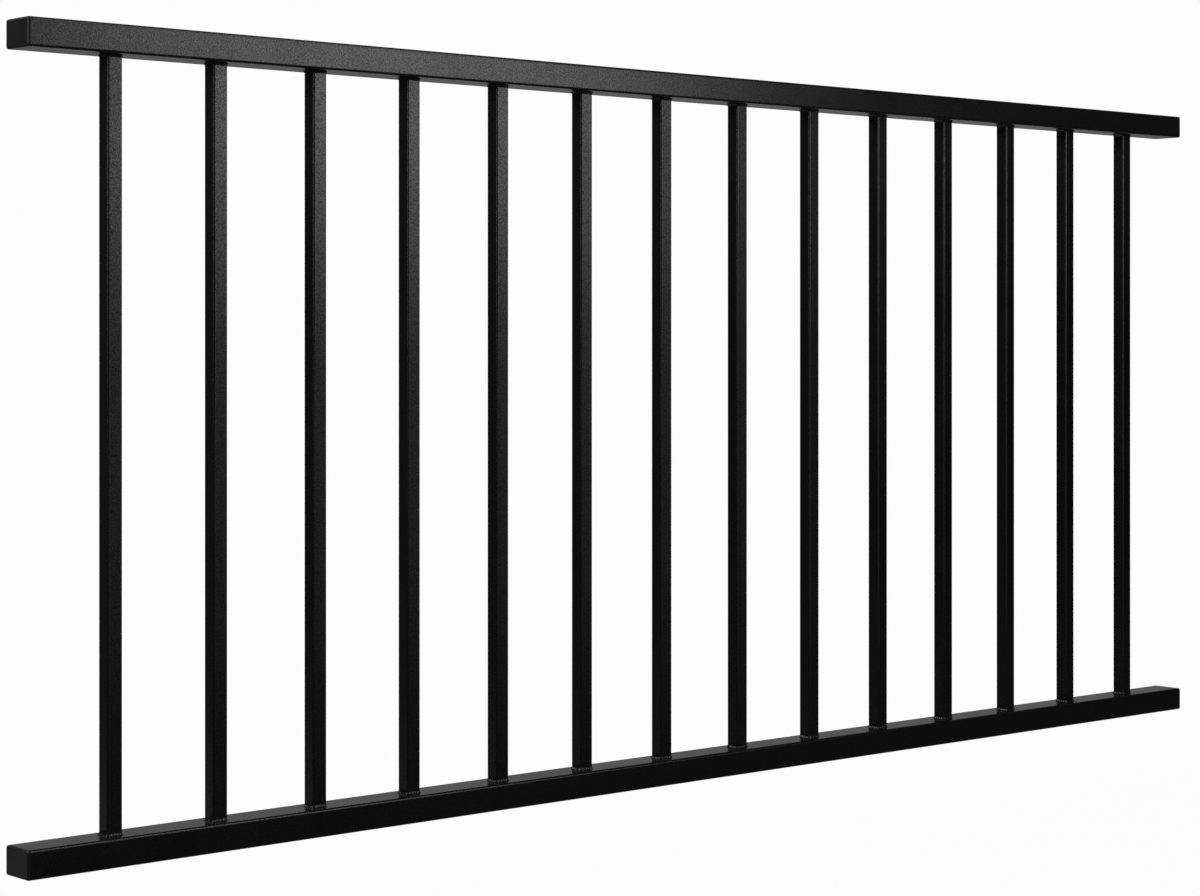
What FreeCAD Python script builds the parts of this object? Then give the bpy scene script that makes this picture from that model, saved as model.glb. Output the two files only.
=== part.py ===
"""Welded steel deck railing section: two tube rails, a row of square balusters and four end caps.

Millimetres. X runs along the rails from the left end, Y from the front to the back, and Z up.
The origin is in the middle of the bottom rail's left end, the face that sits in a post bracket.
"""

import math
import os

import FreeCAD
import Part
import Sketcher

DRIVING_SIZES = (
    ("overall_height", 765.0),
    ("rail_height", 27.0),
    ("rail_depth", 40.0),
    ("rail_wall", 1.6),
    ("rail_corner", 2.6),
    ("baluster_count", 14),
    ("baluster_pitch", 114.0),
    ("baluster_size", 16.0),
    ("baluster_wall", 1.2),
    ("baluster_corner", 2.0),
    ("end_overhang", 96.0),
    ("cap_flange", 3.0),
    ("cap_edge", 2.2),
    ("cap_seam", 0.5),
    ("cap_skirt", 14.0),
    ("cap_skirt_wall", 1.5),
    ("cap_clearance", 0.25),
    ("weld_width", 1.4),
    ("weld_height", 2.6),
    ("weld_crown", 1.0),
    ("weld_toe", 0.45),
)

WORKED_OUT_SIZES = (
    ("baluster_row", "=(baluster_count - 1) * baluster_pitch"),
    ("rail_length", "=baluster_row + 2 * end_overhang"),
    ("tube_length", "=rail_length - 2 * cap_flange"),
    ("baluster_length", "=overall_height - 2 * rail_height"),
    ("rail_bore_height", "=rail_height - 2 * rail_wall"),
    ("rail_bore_depth", "=rail_depth - 2 * rail_wall"),
    ("baluster_bore", "=baluster_size - 2 * baluster_wall"),
    ("skirt_height", "=rail_bore_height - 2 * cap_clearance"),
    ("skirt_depth", "=rail_bore_depth - 2 * cap_clearance"),
    ("skirt_bore_height", "=skirt_height - 2 * cap_skirt_wall"),
    ("skirt_bore_depth", "=skirt_depth - 2 * cap_skirt_wall"),
    ("weld_size", "=baluster_size + 2 * weld_width"),
    ("weld_outer_cut", "=(2 - sqrt(2)) * (baluster_corner + weld_width)"),
    ("weld_inner_cut", "=(2 - sqrt(2)) * baluster_corner"),
)

QUARTER_TURN = math.pi / 2

doc = FreeCAD.newDocument("deck_railing_section")
sizes = doc.addObject("Spreadsheet::Sheet", "Sizes")


def fill_sheet():
    """Writes the driving sizes as plain numbers and the sizes worked out from them as formulas."""
    for line, (alias, value) in enumerate(DRIVING_SIZES + WORKED_OUT_SIZES, start=1):
        sizes.set(f"A{line}", alias)
        sizes.set(f"B{line}", str(value))
        sizes.setAlias(f"B{line}", alias)
    doc.recompute()


def origin_part(body, role):
    """One of a body's own origin planes or axes, such as XY_Plane."""
    return next(part for part in body.Origin.OriginFeatures if part.Role == role)


def new_sketch(body, name, role):
    """An empty sketch on one of the body's origin planes."""
    sketch = body.newObject("Sketcher::SketchObject", name)
    sketch.AttachmentSupport = [(origin_part(body, role), "")]
    sketch.MapMode = "FlatFace"
    return sketch


def draw_rectangle(sketch, width, height, corner=None):
    """Draws a centred rectangle; its sides, and its corner radius if it has one, follow the sheet."""
    half_width, half_height = float(getattr(sizes, width)) / 2, float(getattr(sizes, height)) / 2
    radius = float(getattr(sizes, corner)) if corner else 0.0
    across, up = half_width - radius, half_height - radius
    vector = FreeCAD.Vector
    sides = (
        (vector(-across, half_height), vector(across, half_height)),
        (vector(half_width, up), vector(half_width, -up)),
        (vector(across, -half_height), vector(-across, -half_height)),
        (vector(-half_width, -up), vector(-half_width, up)),
    )
    lines = [sketch.addGeometry(Part.LineSegment(*ends)) for ends in sides]
    top, right, bottom, left = lines

    def hold(*terms, size=None):
        constraint = sketch.addConstraint(Sketcher.Constraint(*terms))
        if size:
            sketch.setExpression(f"Constraints[{constraint}]", f"Sizes.{size}")

    if corner:
        arcs = []
        for number, (x, y) in enumerate(((across, up), (across, -up), (-across, -up), (-across, up))):
            circle = Part.Circle(vector(x, y), vector(0, 0, 1), radius)
            start = -number * QUARTER_TURN
            arcs.append(sketch.addGeometry(Part.ArcOfCircle(circle, start, start + QUARTER_TURN)))
        for number, arc in enumerate(arcs):
            hold("Tangent", lines[number], 2, arc, 2)
            hold("Tangent", arc, 1, lines[(number + 1) % 4], 1)
        for arc in arcs[1:]:
            hold("Equal", arcs[0], arc)
    else:
        for number in range(4):
            hold("Coincident", lines[number], 2, lines[(number + 1) % 4], 1)
    for line in (top, bottom):
        hold("Horizontal", line)
    for line in (left, right):
        hold("Vertical", line)
    hold("Symmetric", top, 1, bottom, 1, -1, 1)
    hold("DistanceX", left, 1, right, 1, 2 * half_width, size=width)
    hold("DistanceY", bottom, 1, top, 1, 2 * half_height, size=height)
    if corner:
        hold("Radius", arcs[0], radius, size=corner)


def pad(body, sketch, name, length_alias, reverse=False):
    """Extrudes a sketch by a length from the sheet."""
    feature = body.newObject("PartDesign::Pad", name)
    feature.Profile = sketch
    feature.setExpression("Length", f"Sizes.{length_alias}")
    feature.Reversed = reverse
    sketch.Visibility = False
    doc.recompute()
    return feature


def edges_where(feature, test):
    """Names of a feature's edges whose every point passes the test."""
    return [
        f"Edge{number}"
        for number, edge in enumerate(feature.Shape.Edges, start=1)
        if all(test(point) for point in edge.discretize(5))
    ]


def ease(body, kind, name, feature, test, size_alias):
    """Rounds or bevels the edges of a feature that pass the test, by a size from the sheet."""
    eased = body.newObject(f"PartDesign::{kind}", name)
    eased.Base = (feature, edges_where(feature, test))
    eased.setExpression("Radius" if kind == "Fillet" else "Size", f"Sizes.{size_alias}")
    doc.recompute()
    return eased


def same(first, second):
    """True if two lengths are the same to a millionth of a millimetre."""
    return abs(first - second) < 1e-6


def tube(label, plane, outside, corner, bore, length):
    """A straight tube with rounded corners, from the aliases of its outer sides and its bore."""
    body = doc.addObject("PartDesign::Body", label)
    section = new_sketch(body, f"{label}_section", plane)
    draw_rectangle(section, *outside, corner)
    draw_rectangle(section, *bore)
    pad(body, section, f"{label}_tube", length)
    return body


def rail(label, height_expression):
    """A rail tube, lying along X between its two end caps."""
    outside, bore = ("rail_depth", "rail_height"), ("rail_bore_depth", "rail_bore_height")
    body = tube(label, "YZ_Plane", outside, "rail_corner", bore, "tube_length")
    body.setExpression("Placement.Base.x", "Sizes.cap_flange")
    body.setExpression("Placement.Base.z", height_expression)
    return body


def baluster(number):
    """One upright tube, cut square and butted between the rails."""
    label = f"baluster_{number + 1:02d}"
    outside, bore = ("baluster_size",) * 2, ("baluster_bore",) * 2
    body = tube(label, "XY_Plane", outside, "baluster_corner", bore, "baluster_length")
    body.setExpression("Placement.Base.x", f"Sizes.end_overhang + {number} * Sizes.baluster_pitch")
    body.setExpression("Placement.Base.z", "Sizes.rail_height / 2")
    return body


def end_cap(label, turn, seat_expression, height_expression):
    """A push-in cap: a flange as large as the rail, with an eased edge, on a hollow skirt inside the tube."""
    body = doc.addObject("PartDesign::Body", label)
    outline = new_sketch(body, f"{label}_outline", "YZ_Plane")
    draw_rectangle(outline, "rail_depth", "rail_height", "rail_corner")
    flange = pad(body, outline, f"{label}_flange", "cap_flange")

    face = float(sizes.cap_flange)
    eased = ease(body, "Fillet", f"{label}_rim", flange, lambda at: same(at.x, face), "cap_edge")
    ease(body, "Chamfer", f"{label}_seam", eased, lambda at: same(at.x, 0), "cap_seam")

    ring = new_sketch(body, f"{label}_skirt_section", "YZ_Plane")
    draw_rectangle(ring, "skirt_depth", "skirt_height")
    draw_rectangle(ring, "skirt_bore_depth", "skirt_bore_height")
    pad(body, ring, f"{label}_skirt", "cap_skirt", reverse=True)

    body.Placement.Rotation = FreeCAD.Rotation(FreeCAD.Vector(0, 0, 1), turn)
    body.setExpression("Placement.Base.x", seat_expression)
    body.setExpression("Placement.Base.z", height_expression)
    return body


def weld_row(label, turn, height_expression):
    """The fillet welds of one rail: a crowned bead right round the foot of every baluster."""
    body = doc.addObject("PartDesign::Body", label)
    body.AllowCompound = True
    outline = new_sketch(body, f"{label}_outline", "XY_Plane")
    draw_rectangle(outline, "weld_size", "weld_size")
    draw_rectangle(outline, "baluster_size", "baluster_size")
    bead = pad(body, outline, f"{label}_bead", "weld_height")

    outer, inner = float(sizes.weld_size) / 2, float(sizes.baluster_size) / 2
    top = float(sizes.weld_height)
    shoulder = top - float(sizes.weld_crown)

    def corner_at(half):
        return lambda at: same(abs(at.x), half) and same(abs(at.y), half)

    def outside_at(height):
        return lambda at: same(at.z, height) and max(abs(at.x), abs(at.y)) > inner + 1e-6

    bead = ease(body, "Chamfer", f"{label}_outer_corners", bead, corner_at(outer), "weld_outer_cut")
    bead = ease(body, "Chamfer", f"{label}_inner_corners", bead, corner_at(inner), "weld_inner_cut")
    bead = ease(body, "Chamfer", f"{label}_crown", bead, outside_at(top), "weld_crown")
    ease(body, "Chamfer", f"{label}_toe", bead, outside_at(shoulder), "weld_toe")

    row = body.newObject("PartDesign::LinearPattern", f"{label}_row")
    row.TransformMode = "Whole shape"
    row.Direction = (origin_part(body, "X_Axis"), [""])
    row.Mode = "Spacing"
    row.setExpression("Offset", "Sizes.baluster_pitch")
    row.setExpression("Occurrences", "Sizes.baluster_count")
    body.Tip = row
    doc.recompute()

    body.Placement.Rotation = FreeCAD.Rotation(FreeCAD.Vector(1, 0, 0), turn)
    body.setExpression("Placement.Base.x", "Sizes.end_overhang")
    body.setExpression("Placement.Base.z", height_expression)
    return body


def build():
    """Makes every sub-part and returns them in the order of assembly."""
    bottom_centre = "0"
    top_centre = "Sizes.overall_height - Sizes.rail_height"
    made = [rail("bottom_rail", bottom_centre), rail("top_rail", top_centre)]
    for number in range(int(sizes.baluster_count)):
        made.append(baluster(number))
    for row, centre in (("bottom_rail", bottom_centre), ("top_rail", top_centre)):
        made.append(end_cap(f"{row}_left_cap", 180, "Sizes.cap_flange", centre))
        made.append(end_cap(f"{row}_right_cap", 0, "Sizes.rail_length - Sizes.cap_flange", centre))
    made.append(weld_row("bottom_rail_welds", 0, "Sizes.rail_height / 2"))
    made.append(weld_row("top_rail_welds", 180, "Sizes.overall_height - 1.5 * Sizes.rail_height"))
    doc.recompute()
    return made


def check(made):
    """Stops if any object of the document failed, or a sub-part's shape is empty or not valid."""
    for thing in doc.Objects:
        if "Invalid" in thing.State or "Error" in thing.State:
            raise RuntimeError(f"{thing.Name} failed: {thing.State}")
    for body in made:
        if body.Shape.isNull() or not body.Shape.isValid():
            raise RuntimeError(f"{body.Label} has no valid shape")


def export(made):
    """Writes one STEP file for each sub-part, named by its label."""
    os.makedirs("parts", exist_ok=True)
    for body in made:
        body.Shape.exportStep(os.path.join("parts", f"{body.Label}.step"))
        print(f"{body.Label}: {len(body.Shape.Solids)} solid, {body.Shape.Volume:.0f} mm3")


fill_sheet()
sub_parts = build()
check(sub_parts)
export(sub_parts)
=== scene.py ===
# %% [markdown]
# A black steel deck railing section, dressed for a picture.
# The railing's tubes and caps come in ready-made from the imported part, as a fixed frame in metres:
# X runs along the rails, Y from the front to the back and Z up.
# This lesson adds what the eye looks for on the real thing: the powder coat's grain, the moulded
# caps and the rippled weld beads, and then a plain studio to see them in.

# %% Load the frame
import math

import bpy
import numpy as np
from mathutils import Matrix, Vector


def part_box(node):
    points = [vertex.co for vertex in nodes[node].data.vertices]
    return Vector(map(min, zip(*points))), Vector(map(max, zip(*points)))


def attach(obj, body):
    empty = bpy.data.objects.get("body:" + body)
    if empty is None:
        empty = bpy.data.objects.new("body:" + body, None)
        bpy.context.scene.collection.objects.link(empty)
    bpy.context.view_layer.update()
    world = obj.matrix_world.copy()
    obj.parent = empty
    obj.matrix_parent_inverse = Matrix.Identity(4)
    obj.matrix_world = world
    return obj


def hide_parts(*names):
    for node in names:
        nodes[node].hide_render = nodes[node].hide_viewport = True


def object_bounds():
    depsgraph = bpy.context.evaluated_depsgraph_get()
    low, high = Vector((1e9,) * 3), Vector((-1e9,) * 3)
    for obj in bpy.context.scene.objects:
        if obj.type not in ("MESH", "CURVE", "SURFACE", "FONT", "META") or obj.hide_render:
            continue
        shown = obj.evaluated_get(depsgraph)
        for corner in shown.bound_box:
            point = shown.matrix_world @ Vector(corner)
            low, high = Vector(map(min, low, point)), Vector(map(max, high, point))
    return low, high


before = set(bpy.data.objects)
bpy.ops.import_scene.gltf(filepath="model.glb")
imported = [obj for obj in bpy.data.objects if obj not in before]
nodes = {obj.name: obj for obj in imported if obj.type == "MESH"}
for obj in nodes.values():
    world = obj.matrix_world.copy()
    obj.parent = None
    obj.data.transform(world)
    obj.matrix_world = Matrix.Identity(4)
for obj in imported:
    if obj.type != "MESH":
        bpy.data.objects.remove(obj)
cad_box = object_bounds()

print("nodes:", len(nodes))
print("frame box in metres:", [[round(v, 4) for v in corner] for corner in cad_box])

# %% [markdown]
# The camera stands in front of the railing's left end, a little above its middle, and looks along
# it to the right with its back kept upright, so the balusters stay parallel in the picture.
# It could be turned down a little to take in the bottom rail, but then the uprights would lean;
# a lens shift moves the picture down instead, as an architect's lens does.

# %% Camera
IMAGE_W, IMAGE_H = 1200, 896
FOCAL_PX = 2710.3
HORIZON_PX = 335.8
VIEW_YAW = math.radians(41.43)
CAMERA_AT = (-1.2049, -2.1486, 0.4686)
SENSOR_MM = 36.0

camera_data = bpy.data.cameras.new("camera")
camera_data.sensor_fit = "HORIZONTAL"
camera_data.sensor_width = SENSOR_MM
camera_data.lens = SENSOR_MM * FOCAL_PX / IMAGE_W
camera_data.shift_y = -(IMAGE_H / 2 - HORIZON_PX) / IMAGE_W
camera = bpy.data.objects.new("camera", camera_data)
camera.location = CAMERA_AT
camera.rotation_euler = (math.radians(90), 0, -VIEW_YAW)
bpy.context.scene.collection.objects.link(camera)
bpy.context.scene.camera = camera
print("lens in mm:", round(camera_data.lens, 1), "shift:", round(camera_data.shift_y, 4))

# %% [markdown]
# Every finish below is a small tree of nodes, and all of them need the same few things.
# Colours are written as the hex values a paint chart gives, and the shader wants linear light.
# Nodes are added by one helper that takes the inputs by name: a pair of a node and an output's
# name makes a link, and anything else is a plain value.
# A noise node's values bunch round one half, so the same two limits stretch each of them.

# %% Helpers for finishes
NOISE_LIMITS = {"From Min": 0.3, "From Max": 0.7}


def linear(hex_colour):
    """Turns an sRGB hex value into linear red, green, blue and alpha."""
    levels = [int(hex_colour[i : i + 2], 16) / 255 for i in (1, 3, 5)]
    light = [v / 12.92 if v <= 0.04045 else ((v + 0.055) / 1.055) ** 2.4 for v in levels]
    return (*light, 1.0)


def add(tree, kind, inputs=None, **settings):
    """Adds one node, with its settings, its input values and its links."""
    node = tree.nodes.new(kind)
    for name, value in settings.items():
        setattr(node, name, value)
    for name, value in (inputs or {}).items():
        if isinstance(value, tuple) and isinstance(value[0], bpy.types.Node):
            tree.links.new(value[0].outputs[value[1]], node.inputs[name])
        else:
            node.inputs[name].default_value = value
    return node


def empty_material(name):
    """A new material without nodes, and the tree to add them to."""
    material = bpy.data.materials.new(name)
    material.use_nodes = True
    material.node_tree.nodes.clear()
    return material, material.node_tree


def per_metre(size_mm):
    """The texture scale whose pattern repeats about every size_mm."""
    return 1000.0 / size_mm


SATIN_BLACK = "#0c0c0d"
print("satin black in linear light:", [round(v, 4) for v in linear(SATIN_BLACK)[:3]])

# %% [markdown]
# Powder coat is a dry plastic dust, baked until it flows into a skin about a tenth of a millimetre
# thick over the steel. This kind never flows quite flat: it keeps a fine pebbled skin, and every
# pebble tips the satin shine a few degrees, which breaks it into a soft mottle.
# A photograph of paint could be wrapped on, but the tubes are long and the photograph would
# stretch, so the pebbles are noise in the object's own coordinates.
# The skin is also a little thicker in some places than in others, so shine drifts along a tube.

# %% Powder-coated steel
# real pebbles are about 0.4 mm wide and 0.007 mm deep, too fine for the picture, so they are drawn
# nearly three times as large both ways, which keeps their slopes as they are
PEBBLE_MM = 1.1
PEBBLE_DEPTH_MM = 0.018
# grit in the dust is under 0.1 mm, so it is drawn at 0.9 mm
GRIT_MM = 0.9
GRIT_SHARE = 0.15
DRIFT_MM = 70.0
# a pebble's top is a little more matt than the hollow beside it and throws back less light
PEBBLE_MATTING = 0.08
HOLLOW_LUSTRE, TOP_LUSTRE = 0.78, 0.22
GRIT_DARK, GRIT_PALE = 0.8, 1.25


def powder_coated_steel(name, colour, roughness, depth_mm):
    """A black satin polyester coat: pebbled, slightly uneven in shine, with no metal showing."""
    material, tree = empty_material(name)
    place = (add(tree, "ShaderNodeTexCoord"), "Object")
    pebbles = add(
        tree,
        "ShaderNodeTexNoise",
        {"Vector": place, "Scale": per_metre(PEBBLE_MM), "Detail": 1.0, "Roughness": 0.4},
    )
    grit = add(
        tree,
        "ShaderNodeTexNoise",
        {"Vector": place, "Scale": per_metre(GRIT_MM), "Detail": 1.0},
    )
    drift = add(
        tree,
        "ShaderNodeTexNoise",
        {"Vector": place, "Scale": per_metre(DRIFT_MM), "Detail": 3.0},
    )
    skin = add(
        tree,
        "ShaderNodeMath",
        {0: (grit, "Fac"), 1: GRIT_SHARE, 2: (pebbles, "Fac")},
        operation="MULTIPLY_ADD",
    )
    bump = add(
        tree,
        "ShaderNodeBump",
        {"Height": (skin, "Value"), "Strength": 1.0, "Distance": depth_mm / 1000},
    )
    shine = add(
        tree,
        "ShaderNodeMapRange",
        {"Value": (drift, "Fac"), **NOISE_LIMITS, "To Min": roughness[0], "To Max": roughness[1]},
    )
    satin = add(
        tree,
        "ShaderNodeMath",
        {0: (pebbles, "Fac"), 1: PEBBLE_MATTING, 2: (shine, "Result")},
        operation="MULTIPLY_ADD",
    )
    lustre = add(
        tree,
        "ShaderNodeMapRange",
        {"Value": (pebbles, "Fac"), **NOISE_LIMITS, "To Min": HOLLOW_LUSTRE, "To Max": TOP_LUSTRE},
    )
    tint = add(
        tree,
        "ShaderNodeMapRange",
        {"Value": (grit, "Fac"), **NOISE_LIMITS, "To Min": GRIT_DARK, "To Max": GRIT_PALE},
    )
    speckle = add(
        tree,
        "ShaderNodeMix",
        {"Factor": 1.0, "A": linear(colour), "B": (tint, "Result")},
        data_type="RGBA",
        blend_type="MULTIPLY",
    )
    surface = add(
        tree,
        "ShaderNodeBsdfPrincipled",
        {
            "Base Color": (speckle, "Result"),
            "Roughness": (satin, "Value"),
            "Specular IOR Level": (lustre, "Result"),
            "Normal": (bump, "Normal"),
            "Metallic": 0.0,
            "IOR": 1.5,
        },
    )
    add(tree, "ShaderNodeOutputMaterial", {"Surface": (surface, "BSDF")})
    print("made", name, "pebbles", PEBBLE_MM, "mm wide,", depth_mm, "mm deep")
    return material


TUBE_ROUGHNESS = (0.20, 0.25)
# a bead froze from melted metal, so the coat lies flatter and shinier on it than on the tube
BEAD_ROUGHNESS = (0.16, 0.22)
BEAD_PEBBLE_DEPTH_MM = PEBBLE_DEPTH_MM / 2
tube_coat = powder_coated_steel(
    "powder_coated_steel", SATIN_BLACK, TUBE_ROUGHNESS, PEBBLE_DEPTH_MM
)
bead_coat = powder_coated_steel(
    "powder_coated_weld", SATIN_BLACK, BEAD_ROUGHNESS, BEAD_PEBBLE_DEPTH_MM
)

# %% [markdown]
# The plugs that close the rail ends are moulded plastic, such as polyethylene, pressed in by hand.
# A mould leaves a skin much smoother than powder coat, with a very fine spark-eroded texture,
# so the cap is a slightly paler, quieter black beside the mottled tube.
# It could share the tubes' coat with less bump, but a moulding also shows slow flow marks in its
# shine and its tint, so it has a material of its own.

# %% Moulded polyethylene
# a spark texture is about 0.1 mm; it is drawn at 0.8 mm so that it shows at all
SPARK_MM = 0.8
SPARK_DEPTH_MM = 0.008
FLOW_MM = 18.0
CAP_ROUGHNESS = (0.28, 0.36)
FLOW_DARK, FLOW_PALE = 0.9, 1.1


def moulded_polyethylene(name, colour):
    """A smooth moulded black plastic with a fine even texture."""
    material, tree = empty_material(name)
    place = (add(tree, "ShaderNodeTexCoord"), "Object")
    spark = add(
        tree,
        "ShaderNodeTexNoise",
        {"Vector": place, "Scale": per_metre(SPARK_MM), "Detail": 1.0},
    )
    flow = add(
        tree,
        "ShaderNodeTexNoise",
        {"Vector": place, "Scale": per_metre(FLOW_MM), "Detail": 2.0},
    )
    shine = add(
        tree,
        "ShaderNodeMapRange",
        {
            "Value": (flow, "Fac"),
            **NOISE_LIMITS,
            "To Min": CAP_ROUGHNESS[0],
            "To Max": CAP_ROUGHNESS[1],
        },
    )
    bump = add(
        tree,
        "ShaderNodeBump",
        {"Height": (spark, "Fac"), "Strength": 1.0, "Distance": SPARK_DEPTH_MM / 1000},
    )
    tint = add(
        tree,
        "ShaderNodeMapRange",
        {"Value": (flow, "Fac"), **NOISE_LIMITS, "To Min": FLOW_DARK, "To Max": FLOW_PALE},
    )
    shade = add(
        tree,
        "ShaderNodeMix",
        {"Factor": 1.0, "A": linear(colour), "B": (tint, "Result")},
        data_type="RGBA",
        blend_type="MULTIPLY",
    )
    surface = add(
        tree,
        "ShaderNodeBsdfPrincipled",
        {
            "Base Color": (shade, "Result"),
            "Roughness": (shine, "Result"),
            "Normal": (bump, "Normal"),
            "Metallic": 0.0,
            "IOR": 1.51,
        },
    )
    add(tree, "ShaderNodeOutputMaterial", {"Surface": (surface, "BSDF")})
    print("made", name, "flow marks", FLOW_MM, "mm long")
    return material


cap_plastic = moulded_polyethylene("moulded_polyethylene", "#222223")

# %% [markdown]
# The tubes and caps already have their real shape, so they only change clothes: each node's own
# material slots get the new finish. Faces stay as they are.

# %% Dress the tubes and caps
for name, thing in nodes.items():
    finish = cap_plastic if name.endswith("_cap") else tube_coat
    thing.data.materials.clear()
    thing.data.materials.append(finish)
print("dressed:", sum(name.endswith("_cap") for name in nodes), "caps of", len(nodes), "nodes")

# %% [markdown]
# Each baluster is welded to its rail right round its foot. A welder's torch lays the metal down in
# small overlapping puddles, which freeze into a row of crescents about 3 mm apart.
# Two things could make them: a bump pattern on the plain bead, or real shape.
# The beads catch light on their outline, where a bump does nothing, so they are a mesh.
# A hollow-faced section, wide at the rail and thin up the tube, is carried round the tube's rounded
# square, and its size swells and shrinks with each puddle. The crescents bow forward because the
# middle of a puddle freezes last.

# %% Path round a baluster
foot_low, foot_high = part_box("baluster_01")
BALUSTER = foot_high[0] - foot_low[0]
BALUSTER_CORNER = 0.0020
PATH_STEP = 0.00045
FEWEST_CORNER_STEPS = 4


def round_the_tube():
    """Points round a rounded square, with the direction that faces out and the length so far."""
    half = BALUSTER / 2
    flat = half - BALUSTER_CORNER
    places, outward = [], []
    for quarter in range(4):
        turn = quarter * math.pi / 2
        ahead = np.array((-math.sin(turn), math.cos(turn)))
        out = np.array((math.cos(turn), math.sin(turn)))
        for along in np.arange(-flat, flat, PATH_STEP):
            places.append(out * half + ahead * along)
            outward.append(out)
        centre = out * flat + ahead * flat
        steps = max(FEWEST_CORNER_STEPS, int(BALUSTER_CORNER * math.pi / 2 / PATH_STEP))
        for angle in np.linspace(0, math.pi / 2, steps, endpoint=False):
            facing = np.array((math.cos(turn + angle), math.sin(turn + angle)))
            places.append(centre + facing * BALUSTER_CORNER)
            outward.append(facing)
    places, outward = np.array(places), np.array(outward)
    gaps = np.linalg.norm(np.roll(places, -1, axis=0) - places, axis=1)
    return places, outward, np.concatenate(([0.0], np.cumsum(gaps)[:-1])), gaps.sum()


path, facing_out, run, girth = round_the_tube()
print("round one foot:", len(path), "points,", round(girth * 1000, 1), "mm")

# %% One bead
BEAD_WIDTH = 0.0014
BEAD_HEIGHT = 0.0026
PUDDLE_PITCH = 0.0034
SECTION_POINTS = 9
# a crescent's middle leads its ends by this share of a puddle
CRESCENT_BOW = 0.3
# the bead's size between two puddles, what a crest adds to it, and how much puddles differ
VALLEY, CREST = 0.52, 0.50
UNEVENNESS = 0.10
# the share of the bead's height that follows its size
HEIGHT_SHARE = 0.5
# an exponent below 1 rounds the crests and sharpens the valleys, and one above 1 hollows the face
CREST_ROUNDING = 0.7
FACE_HOLLOW = 1.8
# the weld bites into the metal below the seam, where its hidden sides meet
BEAD_ROOT = 0.0002


def weld_bead(seed):
    """One closed bead round a tube at the origin, on the plane where height is zero."""
    chance = np.random.default_rng(seed)
    puddles = round(girth / PUDDLE_PITCH)
    uneven = np.interp(
        run / girth * puddles,
        np.arange(puddles + 1),
        np.append(chance.normal(1.0, UNEVENNESS, puddles), 1.0),
    )
    start = chance.uniform(0, 1)
    corners = []
    for step in np.linspace(0, 1, SECTION_POINTS):
        # step * (1 - step) is a quarter half-way up the face and nothing at its edges
        bow = CRESCENT_BOW * 4 * step * (1 - step)
        phase = run / girth * puddles + start - bow
        crest = np.abs(np.sin(np.pi * phase)) ** CREST_ROUNDING
        swell = uneven * (VALLEY + CREST * crest)
        reach = BEAD_WIDTH * swell * (1 - step) ** FACE_HOLLOW
        rise = BEAD_HEIGHT * step * (1 - HEIGHT_SHARE + HEIGHT_SHARE * swell)
        across = path + facing_out * np.reshape(reach, (-1, 1))
        corners.append(np.column_stack((across, rise)))
    root = path - facing_out * BEAD_ROOT
    corners.append(np.column_stack((root, np.full(len(path), -BEAD_ROOT))))
    return np.stack(corners, axis=1)


sample = weld_bead(1)
print("bead reach in mm:", round((np.abs(sample[..., 0]).max() - BALUSTER / 2) * 1000, 2))

# %% [markdown]
# All beads of one rail become one mesh, as they are one node of the frame. They could be copies of
# a single bead, but no two welds are alike, so each bead has its own seed.
# The upper row is the same kind of bead turned over.

# %% Two rows of beads
BOTTOM_SEED, TOP_SEED = 100, 200
balusters = sorted(name for name in nodes if name.startswith("baluster"))


def bead_row(name, node, height, hand, seed):
    """Joins the beads of one rail into a mesh that stands for the frame's plain ones."""
    corners, faces, shown = [], [], []
    around, up = len(path), SECTION_POINTS + 1
    for number, baluster in enumerate(balusters):
        low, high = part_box(baluster)
        bead = weld_bead(seed + number)
        bead[..., 0] += (low[0] + high[0]) / 2
        bead[..., 1] += (low[1] + high[1]) / 2
        bead[..., 2] = height + hand * bead[..., 2]
        first = number * around * up
        corners.append(bead.reshape(-1, 3))
        for i in range(around):
            here, there = first + i * up, first + (i + 1) % around * up
            for j in range(up):
                above = (j + 1) % up
                quad = (here + j, there + j, there + above, here + above)
                faces.append(quad if hand > 0 else quad[::-1])
                # the two hidden sides stay flat, so that they don't bend the shading of the face
                shown.append(j < SECTION_POINTS - 1)
    mesh = bpy.data.meshes.new(name)
    mesh.from_pydata(np.concatenate(corners).tolist(), [], faces)
    mesh.polygons.foreach_set("use_smooth", shown)
    mesh.materials.append(bead_coat)
    row = bpy.data.objects.new(name, mesh)
    bpy.context.scene.collection.objects.link(row)
    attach(row, "root")
    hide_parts(node)
    print("made", name, "with", len(faces), "faces")


bead_row("bottom_weld_beads", "bottom_rail_welds", foot_low[2], 1, BOTTOM_SEED)
bead_row("top_weld_beads", "top_rail_welds", foot_high[2], -1, TOP_SEED)

# %% [markdown]
# The studio is a white sheet that comes down behind the railing and runs forward below it, at about
# the drop from a hung panel to the ground. Black satin shows its surroundings more than its own
# colour, so where the sheet ends matters as much as what it is. It spreads a few degrees wider than
# the camera's view on the left and more on the right: the rails' upper and lower faces mirror it
# and turn grey, while the balusters' left sides look past its edge into the dim room and stay
# black. The paper could be plain and lit white, but that light would fall on the railing too. So it
# glows white for the camera, and more dimly in reflections, least of all low down, where the lamps
# hardly reach. A small share of it stays plain paper, so that the railing's shadow falls on it.

# %% White paper
GLOW_SHARE = 0.97
# in reflections the paper is dim low down and brighter higher up: heights in metres, then strengths
GLOW_HEIGHTS = (0.2, 0.8)
GLOW_IN_GLOSS = (0.17, 0.36)
# paper fibres are far too fine to see from here, so a slow cloud stands for the sheet's unevenness
CLOUD_MM = 200.0

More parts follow.
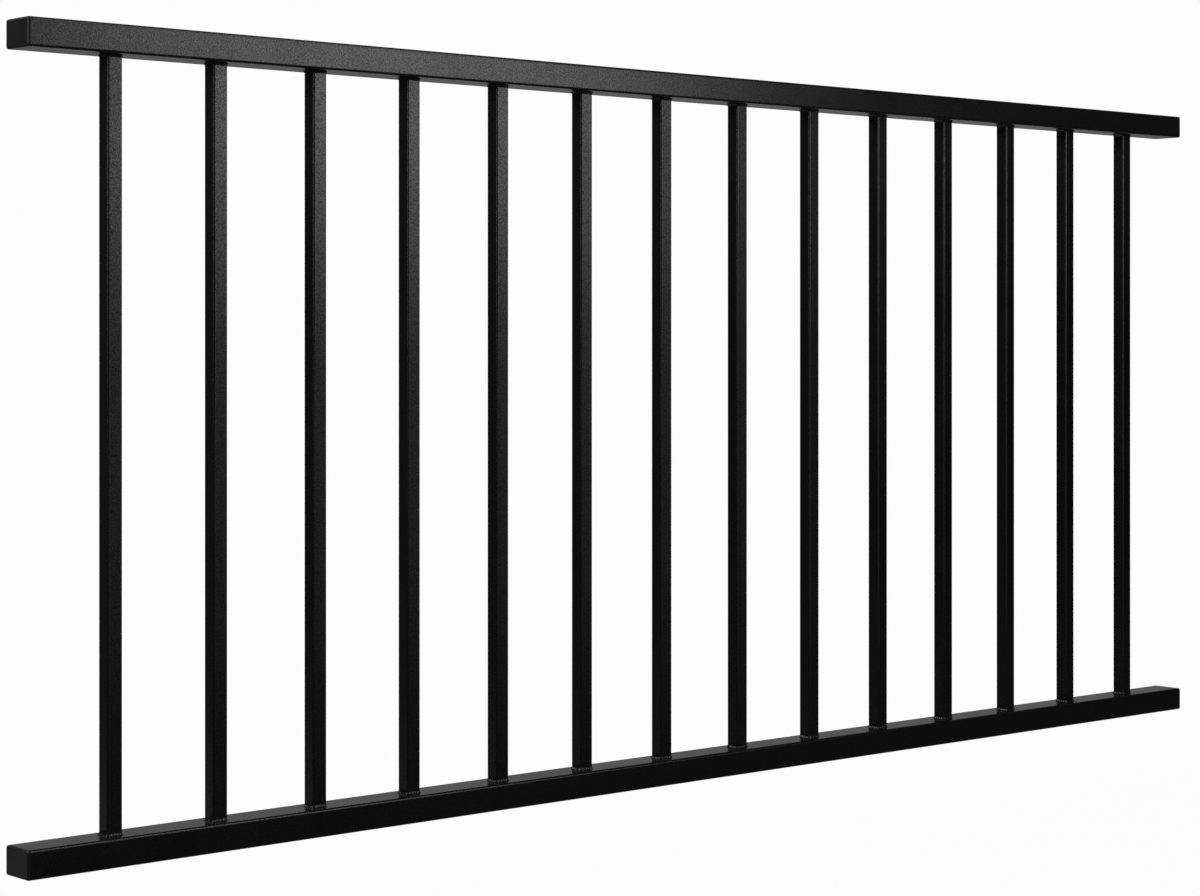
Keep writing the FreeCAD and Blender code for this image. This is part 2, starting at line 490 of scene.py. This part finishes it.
white_paper, tree = empty_material("white_paper")
ray = add(tree, "ShaderNodeLightPath")
clear = add(
    tree,
    "ShaderNodeMath",
    {0: (ray, "Is Camera Ray"), 1: (ray, "Is Transmission Ray")},
    operation="MAXIMUM",
)
glowing = add(
    tree,
    "ShaderNodeMath",
    {0: (clear, "Value"), 1: (ray, "Is Glossy Ray")},
    operation="MAXIMUM",
)
share = add(
    tree,
    "ShaderNodeMath",
    {0: (glowing, "Value"), 1: GLOW_SHARE},
    operation="MULTIPLY",
)
spot = (add(tree, "ShaderNodeTexCoord"), "Object")
level = add(tree, "ShaderNodeSeparateXYZ", {"Vector": spot})
mirrored_glow = add(
    tree,
    "ShaderNodeMapRange",
    {
        "Value": (level, "Z"),
        "From Min": GLOW_HEIGHTS[0],
        "From Max": GLOW_HEIGHTS[1],
        "To Min": GLOW_IN_GLOSS[0],
        "To Max": GLOW_IN_GLOSS[1],
    },
)
strength = add(
    tree,
    "ShaderNodeMapRange",
    {"Value": (ray, "Is Glossy Ray"), "To Min": 1.0, "To Max": (mirrored_glow, "Result")},
)
cloud = add(tree, "ShaderNodeTexNoise", {"Vector": spot, "Scale": per_metre(CLOUD_MM)})
tone = add(
    tree,
    "ShaderNodeMix",
    {"Factor": (cloud, "Fac"), "A": linear("#ededed"), "B": linear("#f4f4f4")},
    data_type="RGBA",
)
paper = add(tree, "ShaderNodeBsdfDiffuse", {"Color": (tone, "Result")})
glow = add(
    tree,
    "ShaderNodeEmission",
    {"Color": linear("#ffffff"), "Strength": (strength, "Result")},
)
both = add(
    tree,
    "ShaderNodeMixShader",
    {"Fac": (share, "Value"), 1: (paper, "BSDF"), 2: (glow, "Emission")},
)
add(tree, "ShaderNodeOutputMaterial", {"Surface": (both, "Shader")})
print("made white_paper, glow in reflections", GLOW_IN_GLOSS)

# %% [markdown]
# The sheet could be one mesh, but from behind its wall would hide the railing. The floor and the
# wall are therefore two pieces, and the wall, with the bend below it, is there for reflections
# alone: where the camera looks through it, it sees the white of the room.

# %% Floor and wall
SHEET_DROP = 0.60
SHEET_NEAR = -0.30
SHEET_FAR = 2.90
SHEET_BEND = 0.9
BEND_POINTS = 13
SHEET_TOP = 2.3
VIEW_SPREAD = math.atan(IMAGE_W / 2 / FOCAL_PX)
MARGIN_LEFT, MARGIN_RIGHT = math.radians(3), math.radians(13)


def paper_piece(name, side):
    """A strip of the sheet with this outline in side view, fanned out from where the camera is."""
    floor = cad_box[0][2] - SHEET_DROP
    left, right = VIEW_YAW - VIEW_SPREAD - MARGIN_LEFT, VIEW_YAW + VIEW_SPREAD + MARGIN_RIGHT
    corners = []
    for back, up in side:
        for edge in (left, right):
            across = CAMERA_AT[0] + (back - CAMERA_AT[1]) * math.tan(edge)
            corners.append((across, back, floor + up))
    faces = [(2 * i, 2 * i + 1, 2 * i + 3, 2 * i + 2) for i in range(len(side) - 1)]
    mesh = bpy.data.meshes.new(name)
    mesh.from_pydata(corners, [], faces)
    mesh.polygons.foreach_set("use_smooth", [True] * len(faces))
    mesh.materials.append(white_paper)
    piece = bpy.data.objects.new(name, mesh)
    bpy.context.scene.collection.objects.link(piece)
    print(name, "from", side[0], "to", side[-1], "metres back and up")
    return piece


bend = [
    (SHEET_FAR - SHEET_BEND * (1 - math.sin(turn)), SHEET_BEND * (1 - math.cos(turn)))
    for turn in np.linspace(0, math.pi / 2, BEND_POINTS).tolist()
]
paper_piece("white_floor", [(SHEET_NEAR, 0.0), bend[0]])
wall = paper_piece("white_wall", [*bend, (SHEET_FAR, SHEET_TOP)])
wall.visible_camera = False

# %% [markdown]
# Soft boxes light the coat. The main one hangs in front, to the right, and is the one that the
# front faces mirror: seen from the camera it lies over the upper left of the railing and slips off
# its lower and right side, so the faces fade there. It could be moved about by eye, but it is
# worked out as a mirror would be: each point's reflection is followed to the box's distance.
# A real soft box is brightest in the middle of its cloth, so it is three sheets of light, one
# inside the other. A fourth sheet hangs above a gap and draws the thin line on the rails' upper
# front corners. Seen from behind, the top rail's upper face mirrors the gap and isn't blown out.

# %% Front box
BOX_AHEAD = 1.5
SHEET_SPACING = 0.02


def mirrored(x, z, ahead):
    """Where the camera's view of a point on the front, mirrored there, meets a plane in front."""
    reach = ahead / -CAMERA_AT[1]
    return x + reach * (x - CAMERA_AT[0]), z + reach * (z - CAMERA_AT[2])


def soft_box(name, at, towards, width, height, radiance):
    """A rectangular lamp that faces a point and stays out of every view's background."""
    lamp = bpy.data.lights.new(name, "AREA")
    lamp.shape = "RECTANGLE"
    lamp.size, lamp.size_y = width, height
    lamp.energy = radiance * math.pi * width * height
    thing = bpy.data.objects.new(name, lamp)
    thing.location = at
    away = np.array(at) - np.array(towards)
    thing.rotation_euler = (
        math.atan2(math.hypot(away[0], away[1]), away[2]),
        0,
        math.atan2(away[1], away[0]) + math.pi / 2,
    )
    thing.visible_camera = False
    bpy.context.scene.collection.objects.link(thing)
    print(name, "power in watts:", round(lamp.energy, 1))


# each sheet's name, the left, right, low and high edges of its mirror image, in metres on the
# railing's front, and its radiance
sheets = (
    ("front_box_rim", -0.60, 0.95, 0.18, 0.90, 0.20),
    ("front_box", 0.03, 0.775, 0.556, 0.90, 1.82),
    ("front_box_middle", 0.09, 0.70, 0.714, 0.90, 1.03),
    ("front_box_upper", 0.03, 0.775, 1.164, 1.80, 2.85),
)
for number, (name, left, right, low, high, radiance) in enumerate(sheets):
    ahead = BOX_AHEAD - SHEET_SPACING * number
    left_edge, low_edge = mirrored(left, low, ahead)
    right_edge, high_edge = mirrored(right, high, ahead)
    middle = ((left_edge + right_edge) / 2, -ahead, (low_edge + high_edge) / 2)
    facing = (middle[0], 0.0, middle[2])
    soft_box(name, middle, facing, right_edge - left_edge, high_edge - low_edge, radiance)

# %% [markdown]
# A box on the left draws a thin bright line down every rounded corner. A wide one lies low behind,
# for the back faces, and one high at the back lights the rear for other views. The last is small
# and faint, and stands where the bottom rail's left cap looks, in place of the pale floor of a
# larger studio. One bright room could do all of this, but then no face would differ from the next.

# %% Other boxes
# each box's name, where its middle is and what it faces, in metres, its width, height and radiance
boxes = (
    ("left_box", (-2.0, -0.7, 1.4), (0.0, -0.7, 1.4), 2.0, 1.6, 1.5),
    ("low_back_box", (2.55, 1.9, -0.46), (2.55, 1.675, 0.514), 3.9, 1.2, 0.6),
    ("back_box", (-1.8, 2.0, 2.6), (0.8, 0.0, 0.4), 2.2, 1.2, 3.6),
    ("low_left_box", (-0.73, 1.30, -0.36), (0.0, 0.0, 0.0), 0.6, 0.3, 0.16),
)
for box in boxes:
    soft_box(*box)

# %% [markdown]
# A photographer keeps black things black by hanging a flag, a black cloth on a frame, where they
# would mirror something pale. Here it hangs beside the front box, where the middle of the
# right-hand balusters' front faces look. The room could be made darker instead, but then every
# other face would lose its tone as well. Like the lamps, it is there for reflections alone.

# %% Black flag
FLAG_AHEAD = 1.6
FLAG_SIDES = (2.35, 4.80)
FLAG_HEIGHTS = (-0.08, 0.75)

black_cloth, tree = empty_material("black_cloth")
cloth = add(tree, "ShaderNodeBsdfDiffuse", {"Color": linear("#0a0a0a")})
add(tree, "ShaderNodeOutputMaterial", {"Surface": (cloth, "BSDF")})

(left, right), (low, high) = FLAG_SIDES, FLAG_HEIGHTS
outline = [(left, low), (right, low), (right, high), (left, high)]
mesh = bpy.data.meshes.new("black_flag")
mesh.from_pydata([(x, -FLAG_AHEAD, z) for x, z in outline], [], [(0, 1, 2, 3)])
mesh.materials.append(black_cloth)
flag = bpy.data.objects.new("black_flag", mesh)
bpy.context.scene.collection.objects.link(flag)
flag.visible_camera = False
print("black flag:", FLAG_SIDES, "metres along,", FLAG_HEIGHTS, "up")

# %% [markdown]
# The rest of the room is dim. It could be one grey, but then the railing would stand in front of
# grey wherever the sheet ends, so the camera alone sees white there, from any side.

# %% Dim room
ROOM_GLOW = 0.05
# as white as the sheet looks with its share of plain paper
SEEN_WHITE = 0.978

dim_room = bpy.data.worlds.new("dim_room")
bpy.context.scene.world = dim_room
dim_room.use_nodes = True
tree = dim_room.node_tree
tree.nodes.clear()
ray = add(tree, "ShaderNodeLightPath")
room = add(tree, "ShaderNodeBackground", {"Color": linear("#ffffff"), "Strength": ROOM_GLOW})
white = add(tree, "ShaderNodeBackground", {"Color": linear("#ffffff"), "Strength": SEEN_WHITE})
seen = add(
    tree,
    "ShaderNodeMixShader",
    {"Fac": (ray, "Is Camera Ray"), 1: (room, "Background"), 2: (white, "Background")},
)
add(tree, "ShaderNodeOutputWorld", {"Surface": (seen, "Shader")})
bpy.context.scene.view_settings.view_transform = "Standard"
print("room strength", ROOM_GLOW, "and white for the camera", SEEN_WHITE)
